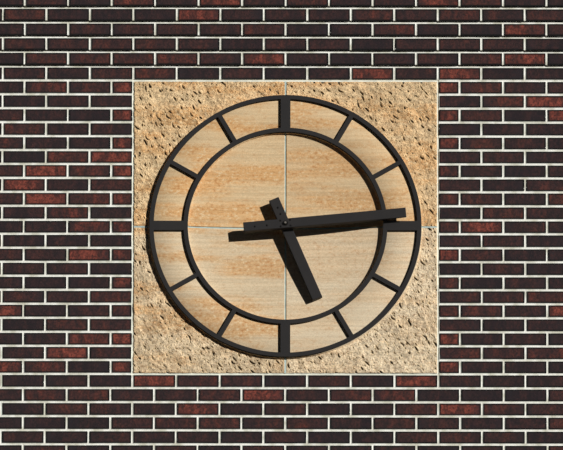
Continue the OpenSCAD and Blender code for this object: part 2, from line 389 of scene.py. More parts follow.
# Body colours of the bricks, from the darkest tone to the reddest
brick_paints = [(0.0, paint(33, 24, 26)), (0.25, paint(43, 29, 29)), (0.5, paint(55, 34, 32)),
                (0.7, paint(67, 38, 33)), (0.86, paint(84, 43, 36)), (1.0, paint(110, 55, 44))]


def brick_finish():
    """Dark, flashed facing brick. Its body colour follows the brick's tone, with mottles, dark fire marks,
    a darker flashed end, painted shade along its arrises, and smears of mortar along its ends and its upper
    arris."""
    f = Finish("fired_brick")
    kind = f.value_of("brick_kind")
    tone, flash, _ = f.parts(kind)
    along, up, half_l = f.parts(f.value_of("brick_place"))
    off_end = f.math("SUBTRACT", half_l, f.math("ABSOLUTE", along))
    off_arris = f.math("MINIMUM", off_end, f.math("SUBTRACT", brick_h / 2, f.math("ABSOLUTE", up)))
    off_top = f.math("MINIMUM", off_end, f.math("SUBTRACT", brick_h / 2, up))
    place = f.vector("MULTIPLY_ADD", kind, (9, 9, 9))
    f.fill(place.node.inputs[2], f.place())
    broad = f.noise(place, 36 * mm, 3, (1, 1, 0.5))
    body = f.ramp(f.math("ADD", tone, f.spread(broad, 0.3, 0.7, -0.24, 0.24)), brick_paints)
    mottle = f.noise(place, 11 * mm, 3, (1, 1, 0.8), 0.65)
    body = f.shade(body, f.spread(mottle, 0.28, 0.72, 0.36, 1.62))
    fire = f.noise(place, 8 * mm, 2)
    body = f.mix(f.spread(fire, 0.56, 0.7, 0, 0.75), body, paint(23, 19, 21))
    dust = f.noise(place, 5 * mm, 2)
    body = f.mix(f.spread(dust, 0.62, 0.75, 0, 0.22), body, paint(118, 84, 72))
    end = f.math("MULTIPLY_ADD", along, 8.0)
    f.fill(end.node.inputs[1], f.spread(flash, -1, 1, -12, 12))
    f.fill(end.node.inputs[2], f.math("MULTIPLY", broad, 1.2))
    body = f.mix(f.spread(end, 0.9, 1.7, 0, 0.6), body, paint(34, 30, 33))
    # Painted shade: the body darkens to near black within a few millimetres of each arris
    body = f.shade(body, f.spread(off_arris, 4.2 * mm, 10 * mm, 0.05, 1.0))
    ragged = f.noise(f.place(), 9 * mm, 3, (1, 1, 1), 0.7)
    smear = f.math("SUBTRACT", f.spread(ragged, 0.5, 0.78, -2.2 * mm, 3.2 * mm), off_top)
    body = f.mix(f.spread(smear, -0.3 * mm, 0.5 * mm, 0, 0.85), body, mortar_paint)
    drag = f.noise(place, 2.5 * mm, 2, (0.25, 1, 1))
    normal = f.bump(mottle, 1.2 * mm, f.bump(drag, 0.5 * mm))
    return f.surface(body, f.spread(mottle, 0.3, 0.7, 0.7, 0.9), normal, Specular_IOR_Level=0.18)


def mortar_finish():
    """Pale lime mortar with sand grains, a duller cast here and there, small pits, and painted shade in a
    thin line where it meets a brick."""
    f = Finish("lime_mortar")
    place = f.place()
    cast = f.noise(place, 50 * mm, 3)
    body = f.mix(f.spread(cast, 0.36, 0.7), mortar_paint, paint(200, 197, 178))
    sand = f.noise(place, 3 * mm, 2)
    body = f.shade(body, f.spread(sand, 0.3, 0.7, 0.88, 1.08))
    pits = f.noise(place, 6 * mm, 2)
    body = f.mix(f.spread(pits, 0.64, 0.74, 0, 0.5), body, paint(138, 130, 108))
    # Painted shade: a thin dark line where the mortar meets a brick, standing in for the shadow of its
    # arris
    from_brick = f.parts(f.value_of("from_brick"))[0]
    body = f.shade(body, f.spread(from_brick, -0.4 * mm, 0.9 * mm, 0.08, 1))
    normal = f.bump(sand, 0.5 * mm, f.bump(pits, -1.0 * mm))
    return f.surface(body, 0.92, normal, Specular_IOR_Level=0.15)


def sandstone_colour(f, place, rust):
    """Colour and sand grain of bedded sandstone: faint pale and tan beds, thin rust lines along them in
    places, freckles where the bed has them, and the slab's own tint and rust. Rust is the share of it that
    shows on this face."""
    beds = f.noise(place, 85 * mm, 3, (0.2, 1, 1), 0.55)
    slab_rust = f.parts(f.value_of("worn"))[2]
    rusty = f.math("MULTIPLY", f.spread(beds, 0.4, 0.62, 0, rust), slab_rust)
    body = f.mix(rusty, paint(209, 184, 146), paint(207, 165, 115))
    body = f.vector("MULTIPLY", body, f.value_of("slab_tint"))
    lines = f.noise(place, 75 * mm, 4, (0.12, 1, 7), 0.7)
    body = f.shade(body, f.spread(lines, 0.3, 0.7, 0.87, 1.1))
    streaks = f.math("MULTIPLY", f.spread(lines, 0.64, 0.7, 0, 0.5), rusty)
    body = f.mix(streaks, body, paint(196, 134, 76))
    lively = f.spread(rusty, 0, 1, 0.3, 1)
    spots = f.noise(place, 11 * mm, 2, (0.7, 1, 1.1), 0.65)
    tan_spots = f.math("MULTIPLY", f.spread(spots, 0.52, 0.7, 0, 0.7), lively)
    body = f.mix(tan_spots, body, paint(174, 116, 64))
    pale_spots = f.math("MULTIPLY", f.spread(spots, 0.46, 0.32, 0, 0.5), lively)
    body = f.mix(pale_spots, body, paint(226, 208, 170))
    sand = f.noise(place, 4.5 * mm, 3, (1, 1, 1), 0.7)
    return f.shade(body, f.spread(sand, 0.3, 0.7, 0.86, 1.13)), sand


def honed_finish():
    """Honed face of the sandstone."""
    f = Finish("honed_sandstone")
    place = f.vector("ADD", f.place(), f.value_of("slab_shift"))
    body, sand = sandstone_colour(f, place, 1.0)
    return f.surface(body, 0.8, f.bump(sand, 0.12 * mm), Specular_IOR_Level=0.2)


def rough_finish():
    """Pitched face of the sandstone, with painted shade, near black, in its pecks, a painted highlight
    round their rims, and painted light and shade by height: darker in its hollows and paler on its ridges."""
    f = Finish("rough_sandstone")
    place = f.vector("ADD", f.place(), f.value_of("slab_shift"))
    body, sand = sandstone_colour(f, place, 0.9)
    peck, ridge, _ = f.parts(f.value_of("worn"))
    # Painted light and shade: paler on the ridges and darker in the hollows, by the height of the relief
    body = f.shade(body, f.spread(ridge, -1, 1, 0.92, 1.78))
    patch = f.noise(place, 12 * mm, 4, (1, 1, 1), 0.8)
    body = f.mix(f.spread(patch, 0.52, 0.68, 0, 0.75), body, paint(148, 100, 54))
    body = f.mix(f.spread(patch, 0.46, 0.34, 0, 0.75), body, paint(250, 214, 160))
    # Painted highlight: pale rims round the pecks
    body = f.mix(f.spread(peck, 0, 0.06, 0, 0.45), body, paint(250, 220, 168))
    # Painted shade: the pecks go near black, as if in their own shadow
    body = f.mix(f.spread(peck, 0.12, 0.5, 0, 0.95), body, paint(36, 27, 18))
    crumbs = f.noise(place, 8 * mm, 4, (1, 1, 1), 0.75)
    normal = f.bump(crumbs, 10 * mm, f.bump(sand, 1.2 * mm))
    return f.surface(body, 0.88, normal, Specular_IOR_Level=0.15)


def sealant_finish(name, tint):
    """Grey joint sealant, gritty and slightly uneven in colour."""
    f = Finish(name)
    place = f.place()
    cast = f.noise(place, 40 * mm, 3)
    body = f.shade(tint, f.spread(cast, 0.3, 0.7, 0.86, 1.12))
    grit = f.noise(place, 3 * mm, 2)
    return f.surface(body, 0.7, f.bump(grit, 0.3 * mm), Specular_IOR_Level=0.25)


def coat_finish():
    """Charcoal powder coat with a fine texture and a little dust."""
    f = Finish("charcoal_coat")
    place = f.place()
    dust = f.noise(place, 70 * mm, 4)
    body = f.mix(f.spread(dust, 0.35, 0.75, 0, 0.6), paint(36, 34, 33), paint(42, 39, 37))
    texture = f.noise(place, 1.6 * mm, 2)
    return f.surface(body, f.spread(dust, 0.3, 0.7, 0.5, 0.62), f.bump(texture, 0.08 * mm),
                     Specular_IOR_Level=0.12)


def steel_finish(name, tint, rough):
    """Bare steel with fine turning marks round its axis and a slight stain."""
    f = Finish(name)
    place = f.place()
    stain = f.noise(place, 16 * mm, 3)
    marks = f.noise(place, 0.8 * mm, 2, (0.06, 1, 0.06))
    body = f.shade(tint, f.spread(stain, 0.3, 0.7, 0.8, 1.1))
    return f.surface(body, f.spread(marks, 0.3, 0.7, rough - 0.08, rough + 0.1),
                     f.bump(marks, 0.05 * mm), Metallic=1.0)


def proud_of(course):
    """How far the bricks of a course stand out past the wall's face."""
    return corbel_step * np.clip(course - head_course, 0, corbel_courses)


def brick_spans(course, left, right):
    """Both ends of each brick of a course between two places along the wall. Every other course starts
    half a brick further left, and its end bricks are cut to the wall."""
    starts = (np.arange(bricks_in_bay + 1) - 0.5 * (course % 2)) * brick_pitch - bay_half
    spans = np.clip(np.stack([starts, starts + brick_l], 1), left, right)
    return spans[spans[:, 1] - spans[:, 0] > head_joint]


def lay_bricks(piece, which, left, right, front_y, rear_y, seed, corbelled=True, ends_only=False):
    """Lay courses of bricks. A brick is a tube along Y: each loop is a rectangle with cut corners, and the
    loops draw in towards both faces as the arris rounds off. Every point wanders a little towards the
    brick's middle, and each brick stands out or back and tilts a little by itself. A few bricks are redder
    than the rest, and so are the cut ones beside the panel."""
    rng = np.random.default_rng(seed)
    spans, row = [], []
    for course in which:
        found = brick_spans(course, left, right)
        if ends_only and course < courses - 1:
            found = found[[0, -1]]
        spans.append(found)
        row += [course] * len(found)
    start, stop = np.concatenate(spans).T[:, :, None, None]
    row = np.array(row)[:, None, None]
    base = row * course_pitch
    middle_x, middle_z = (start + stop) / 2, base + brick_h / 2
    number = len(row)
    outward = math.copysign(1, front_y - rear_y)
    front = front_y + outward * (proud_of(row) if corbelled else 0)
    # Round the loop: where each point lies as a share of the brick, and how the corner's cut shifts it
    share_x = np.array([0, 1 / 3, 2 / 3, 1, 1, 1, 1, 2 / 3, 1 / 3, 0, 0, 0])
    share_z = np.array([0, 0, 0, 0, 0, 1, 1, 1, 1, 1, 1, 0])
    cut_x = np.array([1, 0, 0, -1, 0, 0, -1, 0, 0, 1, 0, 0])
    cut_z = np.array([0, 0, 0, 0, 1, -1, 0, 0, 0, 0, -1, 1])
    inward_x, inward_z = np.round(1 - 2 * share_x), 1 - 2 * share_z
    # From the face to the rear: how far each loop is drawn in, and how deep it lies
    inset = np.array([1, 0.27, 0, 0, 0.5])[:, None] * arris_round
    into = np.array([0, 0.27, 1, -0.5, 0])[:, None] * arris_round
    depth = into + np.array([0, 0, 0, 1, 1])[:, None] * abs(front_y - rear_y)
    wander = rng.uniform(-0.3, 1, (number, 1, len(share_x))) * arris_wander
    chipped = rng.random((number, 1, len(share_x))) < chipped_share
    chip = chipped * rng.uniform(1.5, 4, (number, 1, 1)) * mm
    inset = inset + wander + chip * np.array([1, 0.6, 0, 0, 0])[:, None]
    x = start + share_x * (stop - start) + cut_x * corner_cut + inward_x * inset
    z = base + share_z * brick_h + cut_z * corner_cut + inward_z * inset
    stand = np.clip(rng.normal(0, brick_proud, (number, 1, 1)), -2 * brick_proud, 2 * brick_proud)
    tilt_x, tilt_z = rng.normal(0, brick_tilt, (2, number, 1, 1))
    stray_x, stray_z, roll = rng.uniform(-1, 1, (3, number, 1, 1)) * brick_stray
    loose = stand + tilt_x * (x - middle_x) + tilt_z * (z - middle_z) - 2 * brick_proud
    near_face = np.array([1, 1, 1, 0, 0])[:, None]
    y = front - outward * (depth - near_face * loose)
    z = np.clip(z + stray_z / 2 + roll / 3 * (x - middle_x) / brick_l, 0, bay_top)
    x = np.clip(x + stray_x, -bay_half, bay_half)
    by_panel = (abs(abs(start) - opening_half) < mm) | (abs(abs(stop) - opening_half) < mm)
    cut = (stop - start < 0.6 * brick_l) & by_panel
    tone, lot = rng.random((2, number, 1, 1))
    plain_or_red = np.where(lot < red_share, 0.8 + 0.2 * tone, 0.08 + 0.58 * tone)
    tone = np.where(cut, 0.6 + 0.4 * tone, plain_or_red)
    flash, other = rng.uniform(-1, 1, (2, number, 1, 1))
    # Behind its face a brick's skin counts as nearer to the middle, so that only the face has painted shade
    # along its arrises
    on_face = np.array([1, 1, 0.93, 0.7, 0.7])[:, None]
    place = lie((x - middle_x) * on_face, (z - middle_z) * on_face, (stop - start) / 2)
    piece.add(lie(x, y, z), brick_place=place, brick_kind=lie(tone, flash, other))


def off_bricks(x, z):
    """Distance from a place on the wall to the nearest brick, below zero on a brick: for each of the three
    nearest courses the distance to a rectangle that repeats along the wall, of which the least counts."""
    nearest = np.inf
    course = np.floor((z + bed_joint / 2) / course_pitch)
    for n in (course - 1, course, course + 1):
        along = x + bay_half - brick_l / 2 + (n % 2) * brick_pitch / 2
        out_x = abs(along - brick_pitch * np.round(along / brick_pitch)) - brick_l / 2
        out_z = abs(z - n * course_pitch - brick_h / 2) - brick_h / 2
        outside = np.hypot(np.maximum(out_x, 0), np.maximum(out_z, 0))
        nearest = np.minimum(nearest, outside + np.minimum(np.maximum(out_x, out_z), 0))
    return nearest


def lay_mortar(piece, left, right, bottom, top, front_y, rear_y, corbelled=True):
    """Bed the bricks in one block of mortar. It is a tube along X, and the front of its loop is tooled
    hollow: its depth is a parabola of the distance from the nearest brick, and behind a brick it falls away
    3 in 1. It carries that distance too, but its cut ends count as far from any brick."""
    edges = np.sort(np.concatenate([brick_spans(n, left, right)[:-1, 1] for n in (0, 1)]))
    across = np.array([-joint_reach, -joint_lap, head_joint / 4, head_joint / 2, head_joint * 3 / 4,
                       head_joint + joint_lap, head_joint + joint_reach])
    x = np.concatenate([[left, left + joint_lap], (edges[:, None] + across).ravel(),
                        [right - joint_lap, right]])
    rows = []
    for n in range(courses + 1):
        base = n * course_pitch
        under, over = (proud_of(n - 1), proud_of(n)) if corbelled else (0, 0)
        rows += [(base - share * bed_joint, under) for share in (0.75, 0.5, 0.25)]
        rows.append((base + joint_lap, under))
        if over > under:
            rows.append((base + joint_lap, over))
        rows += [(base + z, over) for z in (joint_reach, brick_h - joint_reach, brick_h - joint_lap)]
    rows = [row for row in rows if bottom + mm / 10 < row[0] < top - mm / 10]
    rows = [(bottom, rows[0][1])] + rows + [(top, rows[-1][1])]
    z, out = np.array(rows).T
    x = x[:, None]
    away = off_bricks(x, z)
    hollow = 1 - (1 - np.clip(away / joint_reach, 0, 1)) ** 2
    uneven = joint_uneven * clouds(x / (26 * mm), z / (26 * mm), 5, 2)
    depth = joint_edge + joint_hollow * hollow + uneven + 3 * np.clip(-away - joint_lap, 0, 3 * mm)
    outward = math.copysign(1, front_y - rear_y)
    front = lie(x, front_y + outward * (out - depth), z)
    back = lie(x, rear_y, np.array([top, bottom]))
    from_brick = np.concatenate([lie(away, 0, 0), 0 * back + joint_reach], 1)
    from_brick[[0, -1]] = joint_reach
    piece.add(np.concatenate([front, back], 1)[None], finish=1, from_brick=from_brick[None])


def build_wall(brick, mortar):
    """Outer leaf, a piece for each node of the wall. Where the courses step out, the gap behind them is
    filled with split bricks, which show at the ends and along the top."""
    whole = (-bay_half, bay_half)
    inside = (-bay_half + joint_rake, bay_half - joint_rake)
    # For each node: its courses, the reach of its bricks and of its mortar, and the mortar's foot and top
    sections = {
        "wall_base_courses": (range(base_courses), whole, inside, joint_rake, opening_low),
        "wall_left_side": (range(base_courses, head_course), (-bay_half, -opening_half),
                           (inside[0], -opening_half), opening_low, opening_high),
        "wall_right_side": (range(base_courses, head_course), (opening_half, bay_half),
                            (opening_half, inside[1]), opening_low, opening_high),
        "wall_head_course": ([head_course], whole, inside, opening_high, opening_high + brick_h),
    }
    for n in range(1, corbel_courses + 1):
        base = (head_course + n) * course_pitch
        sections[f"wall_corbel_course_{n}"] = (
            [head_course + n], whole, inside, base - bed_joint, base + brick_h)
    first_top = head_course + corbel_courses + 1
    sections["wall_top_courses"] = (range(first_top, courses), whole, inside,
                                    first_top * course_pitch - bed_joint, bay_top - joint_rake)
    for seed, (node, (which, bricks, bed, bottom, top)) in enumerate(sections.items()):
        piece = Skin()
        lay_bricks(piece, which, *bricks, face_y, leaf_back_y, 40 + seed)
        behind = proud_of(which[0]) - head_joint
        if behind > head_joint:
            lay_bricks(piece, which, *bricks, leaf_back_y - behind, leaf_back_y, 80 + seed,
                       corbelled=False, ends_only=True)
        lay_mortar(piece, *bed, bottom, top, face_y, leaf_back_y)
        piece.finish(node.replace("wall", "brickwork"), [brick, mortar], "brickwork", stands_for=[node])


def build_backing(brick, mortar):
    """Backing wall: a leaf of brick behind, and between the leaves the bricks that show at the ends and
    along the top."""
    piece = Skin()
    every = range(courses)
    rear_front = wall_back_y - leaf_depth
    middle = (leaf_back_y + rear_front) / 2
    lay_bricks(piece, every, -bay_half, bay_half, wall_back_y, rear_front, 71, corbelled=False)
    lay_bricks(piece, every, -bay_half, bay_half, middle - leaf_depth / 2, middle + leaf_depth / 2, 72,
               corbelled=False, ends_only=True)
    lay_mortar(piece, -bay_half + joint_rake, bay_half - joint_rake, joint_rake, bay_top - joint_rake,
               wall_back_y, leaf_back_y, corbelled=False)
    piece.finish("brickwork_backing", [brick, mortar], "brickwork", stands_for=["wall_backing"])


def pecks(x, z, size, seed, share):
    """Depth from 0 to 1 of the pecks of a point chisel, of which a square cell of the given size holds one
    at most. A peck is a steep ellipse that falls to the right, bent by the square of the distance along it,
    and its depth is a paraboloid over the ellipse."""
    deepest = np.zeros_like(x)
    column, row = np.floor(x / size), np.floor(z / size)
    for i, j in np.ndindex(3, 3):
        at = column + i - 1, row + j - 1
        right = x / size - at[0] - 0.5 - 0.4 * stir(*at, seed)
        up = z / size - at[1] - 0.5 - 0.4 * stir(*at, seed + 1)
        lean = 0.95 + 0.35 * stir(*at, seed + 2)
        along = right * np.cos(lean) - up * np.sin(lean)
        aside = right * np.sin(lean) + up * np.cos(lean) + stir(*at, seed + 3) * along ** 2
        reach = 0.3 + 0.13 * stir(*at, seed + 4)
        bowl = 1 - (along / reach) ** 2 - (aside / 0.095) ** 2
        found = stir(*at, seed + 5) + cloud(at[0] / 4, at[1] / 4, seed + 7) < 2 * share - 1
        deepest = np.maximum(deepest, found * np.clip(bowl, 0, 1) * (0.75 + 0.25 * stir(*at, seed + 6)))
    return deepest


def rock_face(x, z):
    """Height of the rough stone in millimetres, how deep each place lies in a peck, and how far it lies on
    a ridge. Broad swells, fractal lumps and ridges that fall to the right are broken by large and small
    pecks."""
    x, z = x / mm, z / mm
    bend = 12 * clouds(x / 80, z / 80, 11, 3)
    swell = 1.6 * clouds(x / 130, z / 130, 21, 2)
    ridges = cloud((x * 0.5 - z * 0.87 + bend) / 60, (x * 0.87 + z * 0.5 + bend) / 17, 41)
    lumps = clouds((x + bend) / 14, z / 14, 31, 3, 0.7)
    peck = pecks(x + 0.4 * bend, z, 46, 71, 0.62)
    small = pecks(x - 0.3 * bend, z, 25, 81, 0.58)
    height = swell + 1.6 * ridges + 1.6 * lumps - 7.5 * np.sqrt(peck) - 4.5 * np.sqrt(small)
    return height, np.maximum(peck, 0.8 * small), np.clip(0.5 * lumps + 0.5 * ridges, -1, 1)


def hollow_y(radius):
    """Depth of the hollowed centre, a parabola of the distance from the axis."""
    return rim_y + hollow_depth * (1 - (radius / band_low_r) ** 2)


def stone_slab(side, rise, honed, rough, name):
    """One quarter of the panel. It is a tube round the dial's axis, from one joint of the cross to the
    other. The loop runs out from the sleeve over the hollowed centre, up to the band and down to the rough
    field, whose points are ruled from the band's arc to the slab's straight outer edges, and closes along
    the back. The field is worn off along its joints by the square of the nearness to them."""
    columns, rows = 520, 122
    share = np.concatenate([[0], np.linspace(0, 1, columns), [1]])[:, None]
    cut = np.concatenate([[slab_arris], np.zeros(columns), [slab_arris]])[:, None]
    near = slab_edge + slab_arris - cut
    soft = slab_arris
    bowl = np.linspace(sleeve_r + soft, band_low_r - soft, 14)
    profile = np.array([(sleeve_r, leaf_back_y), (sleeve_r, hollow_y(sleeve_r) + soft),
                        *zip(bowl, hollow_y(bowl)), (band_low_r, rim_y - soft / 4),
                        (band_low_r, band_y + soft), (band_low_r + soft, band_y),
                        (band_high_r - soft, band_y), (band_high_r, band_y + soft), (band_high_r, face_y)])
    radius, level = profile.T
    sweep = np.arcsin(near / radius)
    angle = sweep + share * (math.pi / 2 - 2 * sweep)
    y = level + cut * (level < leaf_back_y - mm)
    honed_part = lie(radius * np.cos(angle), y, radius * np.sin(angle))
    up_side, along_top = np.clip(2 * share, 0, 1), np.clip(2 * share - 1, 0, 1)
    edge_x = panel_half_w + (near - panel_half_w) * along_top
    edge_z = near + (panel_half_h - near) * up_side
    out = np.linspace(0, 1, rows)[1:]
    arc = honed_part[:, -1]
    x = arc[:, :1] * (1 - out) + edge_x * out
    z = arc[:, 2:] * (1 - out) + edge_z * out
    height, peck, ridge = rock_face(side * x, rise * z)
    calm = ease(np.hypot(x, z), band_high_r, band_high_r + rough_fade)
    joint_gap = np.minimum(x, z) - slab_edge
    rim_gap = np.minimum(panel_half_w - x, panel_half_h - z)
    worn_off = joint_wear * (1 - np.clip(joint_gap / joint_wear_w, 0, 1)) ** 2
    worn_off = worn_off + rim_wear * (1 - np.clip(rim_gap / rim_wear_w, 0, 1)) ** 2
    rough_part = lie(x, face_y - height * mm * calm + worn_off, z)
    back = lie(edge_x, leaf_back_y, edge_z)
    loop = np.concatenate([honed_part, rough_part, back], 1)
    loop = loop * (side, 1, rise) + (0, 0, dial_z)
    # Values for the rough finish: how deep each point lies in a peck and how high on a ridge, which drive
    # its painted light and shade, and the slab's share of rust
    worn = np.zeros_like(loop)
    worn[:, len(radius):-1, 0] = peck * calm
    worn[:, len(radius):-1, 1] = ridge
    worn[:, :, 2] = slab_rusts[side, rise]
    finish = np.zeros(loop.shape[1], int)
    finish[len(radius) - 1:] = 1
    piece = Skin()
    shift = np.array((3.7 * side + 1.3 * rise, 0, 5.3 * rise - 2.1 * side))
    piece.add(loop[None], finish, slab_shift=shift, slab_tint=slab_tints[side, rise], worn=worn[None])
    piece.finish(name.replace("stone", "sandstone"), [honed, rough], "sandstone", stands_for=[name],
                 crease=50)


def cross_joint(sealant):
    """Sealed joints between the slabs: four arms from the sleeve to the panel's edge. Each is a tube along
    its arm, with a hollow face a little behind the stone beside it."""
    in_hollow, on_band, in_field = 24, 12, 8
    arm = np.concatenate([
        np.linspace(sleeve_r, band_low_r, in_hollow), np.linspace(band_low_r, band_high_r, on_band),
        np.linspace(band_high_r, panel_half_w, in_field)])[:, None]
    level = np.concatenate([hollow_y(arm[:in_hollow, 0]),
                            np.repeat([band_y, face_y], [on_band, in_field])])[:, None]
    sunk = np.where(arm > band_high_r, rough_sealant_depth, honed_sealant_depth)
    across = np.linspace(-1, 1, 7)
    half = slab_edge + sealant_lap
    arms = []
    for quarter in range(4):
        uneven = sealant_uneven * clouds(arm / (18 * mm), across * 0.7, 61 + quarter, 2)
        front = lie(half * across, level + sunk + cross_hollow * (1 - across ** 2) + uneven, arm)
        back = lie(half * np.array([1, -1]), leaf_back_y, arm)
        arms.append(turned(np.concatenate([front, back], 1), quarter * math.pi / 2))
    piece = Skin().add(np.stack(arms))
    piece.finish("sealant_cross", [sealant], "sealant", stands_for=["panel_cross_joint"], crease=40)


def perimeter_joint(sealant):
    """Sealed joint round the panel: a ring whose stations run round the rectangle, ruled from the stone's
    edge to the bricks, with a hollow face."""
    per_side = 36
    run = np.linspace(-1, 1, per_side, endpoint=False)
    one = np.ones(per_side)
    x = np.concatenate([run, one, -run, -one])[:, None]
    z = np.concatenate([-one, run, one, -run])[:, None]
    across = np.linspace(0, 1, 7)
    inner_w, inner_h = panel_half_w - sealant_lap, panel_half_h - sealant_lap
    outer_w, outer_h = opening_half, panel_half_h + bed_joint
    width = inner_w + (outer_w - inner_w) * across
    height = inner_h + (outer_h - inner_h) * across
    uneven = sealant_uneven * clouds(x * width / (20 * mm), z * height / (20 * mm), 67, 2)
    depth = rim_sealant_depth + rim_hollow * (1 - (2 * across - 1) ** 2) + uneven
    front = lie(x * width, face_y + depth, dial_z + z * height)
    ends = np.array([-1, 0])
    back = lie(x * width[ends], leaf_back_y, dial_z + z * height[ends])
    piece = Skin().add(np.concatenate([front, back], 1)[None], ring=True)
    piece.finish("sealant_perimeter", [sealant], "sealant", stands_for=["panel_perimeter_joint"], crease=40)


# Eased edge of the dial plate: how far its three points lie in from the edge and down from the face
edge_in = np.array([0, 0.3, 1]) * plate_edge
edge_down = np.array([1, 0.3, 0]) * plate_edge


def dial_ring(name, inside, outside, coat):
    """A ring of the dial plate: its section, with both face edges eased, carried round the axis."""
    radius = np.concatenate([[inside], inside + edge_in, outside - edge_in[::-1], [outside]])
    y = np.concatenate([[band_y], dial_y + edge_down, dial_y + edge_down[::-1], [band_y]])
    angle = np.linspace(0, 2 * math.pi, 288, endpoint=False)[:, None]
    piece = Skin().add(lie(radius * np.sin(angle), y, dial_z + radius * np.cos(angle))[None], ring=True)
    piece.finish(name.replace("dial", "plate"), [coat], "dial_plate", stands_for=[name], crease=18)


def dial_marker(n, coat):
    """Marker of hour n: a tube along Y whose loop is a rectangle, let into both rings, with its face edges
    eased and its face a hair behind theirs."""
    let_in = 8 * mm
    flush = 0.04 * mm
    half = (quarter_marker_w if n % 3 == 0 else hour_marker_w) / 2
    inset = np.concatenate([[0], edge_in])[:, None]
    y = np.concatenate([[band_y], dial_y + flush + edge_down])[:, None]
    bottom, top = chapter_r - let_in + inset, ring_inside_r + let_in - inset
    x = (half - inset) * np.array([-1, 1, 1, -1])
    z = np.concatenate([bottom, bottom, top, top], 1)
    piece = Skin().add(turned(lie(x, y, z), n * math.pi / 6)[None])
    name = f"dial_hour_marker_{n}"
    piece.finish(name.replace("dial", "plate"), [coat], "dial_plate", stands_for=[name])


def hand_channel(name, body, angle, coat, reach, tail, tip_w, tail_w, tip_depth, taper_from, bore):
    """A hand folded from sheet. It is a ring of loops: out from the bore over the face, round the fold,
    down the flanks, under their edges, up inside and back to the bore. A loop is the tapered outline
    drawn in by inset, with its side points spread as the bore's points are, by equal angles. The flanks
    get shallower in a straight line from taper_from to the tip. A station without an inset is the bore,
    and one without a depth is the flanks' edge."""
    front_y = low(name).y
    depth = high(name).y - front_y
    side_angles = np.arange(15, 166, 15)
    past_hub = hub_zone / np.tan(np.radians(side_angles))
    stations = [(None, 0), (1.15 * hand_fold, 0), (hand_fold, 0), (0.28 * hand_fold, 0.28 * hand_fold),
                (0, hand_fold), (0, None), (hand_wall, None), (hand_wall, hand_wall), (None, hand_wall)]
    loops = []
    for inset, down in stations:
        if inset is None:
            around = np.radians([4, 9, *side_angles, 174])
            x = bore * np.concatenate([np.sin(around), -np.sin(around[::-1])])
            z = bore * np.concatenate([np.cos(around), np.cos(around[::-1])])
        else:
            up = np.concatenate([[reach - inset, taper_from], past_hub, [inset - tail]])
            half = (tail_w + (tip_w - tail_w) * (up + tail) / (reach + tail)) / 2 - inset
            x = np.concatenate([half, -half[::-1]])
            z = np.concatenate([up, up[::-1]])
        if down is None:
            down = depth - (depth - tip_depth) * np.clip((z - taper_from) / (reach - taper_from), 0, 1)
        loops.append(turned(lie(x, front_y + down, z), angle))
    piece = Skin().add(np.stack(loops)[None], ring=True)
    piece.finish(f"folded_{name}", [coat], "hand_sheet", body, stands_for=[name])


def hand_screws(hand, body, angle, places, steel):
    """Button-head screws on a hand: each is a tube along Y, domed by its falling radius, with a round
    socket."""
    seat_y = low(hand).y
    radius = np.array([4.6, 4.6, 4.1, 3.0, 2.4, 2.2, 2.2])[:, None] * mm
    stand = np.array([-1.0, 0.6, 1.7, 2.4, 2.5, 2.3, 0.4])[:, None] * mm
    around = np.linspace(0, 2 * math.pi, 16, endpoint=False)
    heads = [turned(lie(x + radius * np.sin(around), seat_y - stand, z + radius * np.cos(around)), angle)
             for x, z in places]
    piece = Skin().add(np.stack(heads))
    piece.finish(f"{hand}_screws", [steel], "hand_sheet", body, crease=50)


def hub_nut(steel):
    """Flange nut on the minute arbor: a ring of loops up the flange, the six flats, the chamfer and down
    the bore. The flats' radius is their half width over the cosine of the angle from the nearest flat."""
    front, back = low("minute_hub_nut").y, high("minute_hub_nut").y
    flange_r = high("minute_hub_nut").x
    across_flats, bore = 17 * mm, 5 * mm
    flange_y = back - 2 * mm
    around = np.linspace(0, 2 * math.pi, 48, endpoint=False)
    flats = across_flats / 2 / np.cos((around % (math.pi / 3)) - math.pi / 6)
    circle = np.ones_like(around)
    loops = [(flange_r * circle, back), (flange_r * circle, flange_y + 0.6 * mm),
             ((flange_r - 0.8 * mm) * circle, flange_y), (flats, flange_y), (flats, front + 1.2 * mm),
             (np.minimum(flats, across_flats / 2 * 0.98), front), ((bore + 0.8 * mm) * circle, front),
             (bore * circle, front + 0.8 * mm), (bore * circle, back)]
    loops = [turned(lie(r * np.sin(around), y, r * np.cos(around)), minute_angle) for r, y in loops]
    piece = Skin().add(np.stack(loops)[None], ring=True)
    piece.finish("flange_nut", [steel], "arbor_steel", "minute_assembly", stands_for=["minute_hub_nut"],
                 crease=20)


def dress(steel, nodes):
    """Give CAD nodes whose shape stays their finish."""
    for node in nodes:
        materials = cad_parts[node].data.materials
        materials.clear()
        materials.append(steel)


def pale_floor():
    """Pale floor under the wall. It is clear from below, where the photograph's viewpoint lies, and it
    throws little light back."""
    half, sink = 40, 2 * mm
    corners = [(x * half, y * half, -sink) for x, y in ((-1, -1), (1, -1), (1, 1), (-1, 1))]
    mesh = bpy.data.meshes.new("floor")
    mesh.from_pydata(corners, [], [(0, 1, 2, 3)])
    floor = bpy.data.objects.new("floor", mesh)
    bpy.context.scene.collection.objects.link(floor)
    f = Finish("pale_floor")
    tint = f.mix(f.shown(), paint(40, 40, 40), paint(222, 221, 218))
    f.surface(tint, 0.9, Specular_IOR_Level=0.0)
    below = f.node("NewGeometry", "Backfacing")
    top = f.shader.outputs[0]
    mixed = f.node("MixShader", 0, {0: below, 1: top, 2: f.node("BsdfTransparent")})
    f.fill(f.nodes["Material Output"].inputs[0], mixed)
    mesh.materials.append(f.owner)


